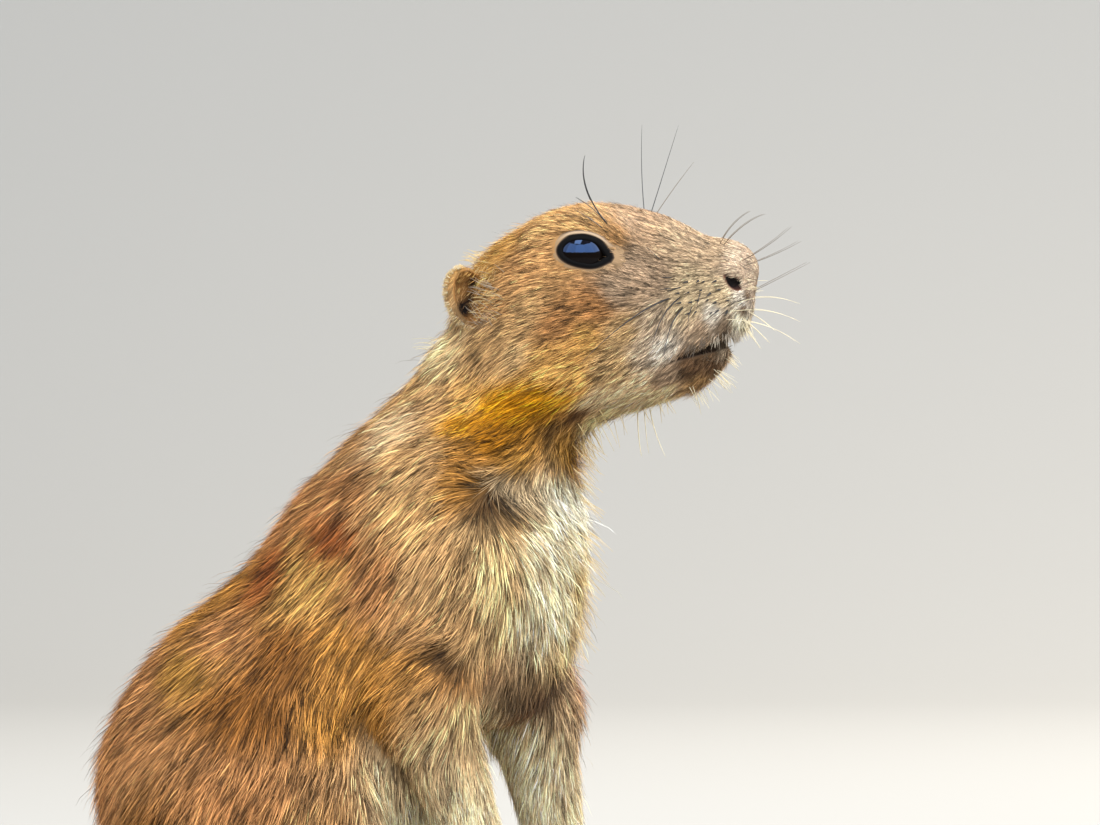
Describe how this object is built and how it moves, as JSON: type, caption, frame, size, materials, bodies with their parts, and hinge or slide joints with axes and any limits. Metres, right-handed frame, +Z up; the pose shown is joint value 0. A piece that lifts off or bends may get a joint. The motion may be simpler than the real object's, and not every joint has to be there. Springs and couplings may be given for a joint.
{
  "type": "prairie dog figure",
  "caption": "Life-size prairie dog sitting on its haunches with its forefeet planted, its head raised and its tail laid out behind.",
  "frame": {"origin": "bottom centre of the bounding box, on the floor the animal sits on", "axes": "+X towards the nose, +Y the animal's left side, +Z up"},
  "size_m": [0.2234, 0.0988, 0.1754],
  "materials": {
    "coat": "short fur, golden tan ticked with darker hairs",
    "back_coat": "short fur, reddish cinnamon brown",
    "belly_coat": "short fur, pale buff",
    "tail_tip": "short fur, near black",
    "eye": "wet black gloss",
    "claw": "dark horn"
  },
  "bodies": {
    "root": {"belly": "belly_coat", "chest": "coat", "ear_left": "coat", "ear_right": "coat", "eye_left": "eye", "eye_right": "eye", "fore_claw_left_1": "claw", "fore_claw_left_2": "claw", "fore_claw_left_3": "claw", "fore_claw_left_4": "claw", "fore_claw_left_5": "claw", "fore_claw_right_1": "claw", "fore_claw_right_2": "claw", "fore_claw_right_3": "claw", "fore_claw_right_4": "claw", "fore_claw_right_5": "claw", "forearm_left": "coat", "forearm_right": "coat", "forefoot_left": "coat", "forefoot_right": "coat", "head": "coat", "hind_claw_left_1": "claw", "hind_claw_left_2": "claw", "hind_claw_left_3": "claw", "hind_claw_left_4": "claw", "hind_claw_left_5": "claw", "hind_claw_right_1": "claw", "hind_claw_right_2": "claw", "hind_claw_right_3": "claw", "hind_claw_right_4": "claw", "hind_claw_right_5": "claw", "hindfoot_left": "coat", "hindfoot_right": "coat", "jaw": "coat", "neck": "coat", "rump": "back_coat", "shank_left": "coat", "shank_right": "coat", "tail": "back_coat", "tail_tip": "tail_tip", "thigh_left": "back_coat", "thigh_right": "back_coat", "upper_arm_left": "coat", "upper_arm_right": "coat"}
  },
  "joints": []
}
